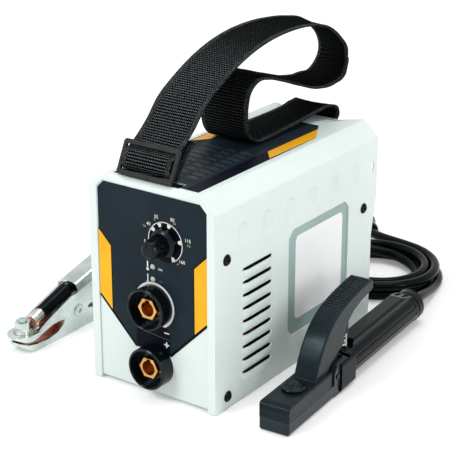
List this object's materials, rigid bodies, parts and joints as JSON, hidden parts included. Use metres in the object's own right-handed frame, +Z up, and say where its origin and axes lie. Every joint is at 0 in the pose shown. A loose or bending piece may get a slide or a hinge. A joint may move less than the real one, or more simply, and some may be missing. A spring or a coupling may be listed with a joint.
{
  "type": "portable inverter welding machine",
  "caption": "Portable stick welding inverter in a louvred sheet-steel case, with current knob, twist-lock sockets, shoulder strap, electrode holder, earth clamp and leads.",
  "frame": {"origin": "centre of the casing's footprint on the floor", "axes": "+X to the right seen from the front, +Y from the front panel to the rear, +Z up"},
  "size_m": [0.3699, 0.4892, 0.283],
  "materials": {
    "case_paint": "satin powder coat",
    "black_screw": "blackened",
    "foot_rubber": "matt",
    "decal_film": "printed film",
    "label_film": "printed film",
    "badge_plate": "satin, bare",
    "knob_plastic": "satin",
    "zinc_steel": "zinc plated",
    "lamp_lens": "clear",
    "gloss_black": "gloss",
    "contact_brass": "turned",
    "switch_plastic": "satin",
    "fan_plastic": "matt",
    "board_laminate": "solder mask",
    "component_plastic": "matt",
    "sink_aluminium": "extruded",
    "capacitor_sleeve": "sleeved",
    "ferrite": "ground",
    "winding_copper": "enamelled",
    "webbing": "woven",
    "holder_plastic": "gloss",
    "handle_rubber": "semi gloss",
    "contact_copper": "bare copper",
    "cord_rubber": "semi gloss"
  },
  "bodies": {
    "set": {"cover": "case_paint", "base_chassis": "case_paint", "rubber_feet": "foot_rubber", "front_panel": "case_paint", "rear_panel": "case_paint", "cover_screws": "black_screw", "front_decal": "decal_film", "top_label": "label_film", "badge_plates": "badge_plate", "potentiometer": "component_plastic", "potentiometer_nut": "zinc_steel", "indicator_lenses": "lamp_lens", "socket_collars": "gloss_black", "socket_contacts": "contact_brass", "socket_nuts": "gloss_black", "mains_switch_housing": "switch_plastic", "cable_gland_body": "gloss_black", "cable_gland_nut": "gloss_black", "fan_frame": "fan_plastic", "fan_guard": "zinc_steel", "fan_screws": "black_screw", "power_board": "board_laminate", "board_standoffs": "component_plastic", "heat_sinks": "sink_aluminium", "power_transistors": "component_plastic", "bus_capacitors": "capacitor_sleeve", "transformer_core": "ferrite", "transformer_winding": "winding_copper", "output_choke": "winding_copper", "control_board": "board_laminate", "output_busbars": "contact_copper", "strap_webbing": "webbing", "strap_slider": "gloss_black", "strap_anchor_bars": "zinc_steel", "holder_body": "holder_plastic", "holder_handle": "handle_rubber", "holder_spring": "zinc_steel", "holder_pivot_pin": "zinc_steel", "holder_lower_contact": "contact_copper", "clamp_lower_jaw": "zinc_steel", "clamp_pivot_rivet": "zinc_steel", "clamp_spring": "zinc_steel", "clamp_lower_contact": "contact_copper", "electrode_lead": "cord_rubber", "earth_lead": "cord_rubber", "plug_bodies": "handle_rubber", "plug_pins": "contact_brass"},
    "knob": {"current_knob": "knob_plastic", "potentiometer_shaft": "sink_aluminium"},
    "rocker": {"mains_switch_rocker": "switch_plastic"},
    "rotor": {"fan_rotor": "fan_plastic"},
    "lever": {"holder_lever": "holder_plastic", "holder_upper_contact": "contact_copper", "holder_cap": "holder_plastic"},
    "clamp_top": {"clamp_upper_jaw": "zinc_steel", "clamp_upper_contact": "contact_copper", "clamp_bolt": "zinc_steel", "clamp_cable_lug": "zinc_steel", "clamp_nut": "zinc_steel", "clamp_cable_sleeve": "cord_rubber"}
  },
  "joints": [
    {"name": "current_knob_turn", "type": "hinge", "parent": "set", "child": "knob", "pos_m": [0.0144, -0.1335, 0.1431], "axis": [0, 1, 0], "range_deg": [-93, 167]},
    {"name": "mains_switch_rock", "type": "hinge", "parent": "set", "child": "rocker", "pos_m": [-0.028, 0.1105, 0.15], "axis": [1, 0, 0], "range_deg": [-20, 0]},
    {"name": "fan_spin", "type": "hinge", "parent": "set", "child": "rotor", "pos_m": [0, 0.1005, 0.062], "axis": [0, 1, 0], "continuous": true},
    {"name": "holder_lever_squeeze", "type": "hinge", "parent": "set", "child": "lever", "pos_m": [0.11338, -0.034, 0.018], "axis": [-0.9976, -0.0698, 0], "range_deg": [0, 12], "stiffness_Nm_per_rad": 1.2, "springref_deg": -14.32, "deforming": ["holder_spring"]},
    {"name": "clamp_squeeze", "type": "hinge", "parent": "set", "child": "clamp_top", "pos_m": [-0.15, -0.0618, 0.02], "axis": [-1, 0, 0], "range_deg": [0, 16], "stiffness_Nm_per_rad": 2, "springref_deg": -17.19, "deforming": ["clamp_spring"]}
  ]
}
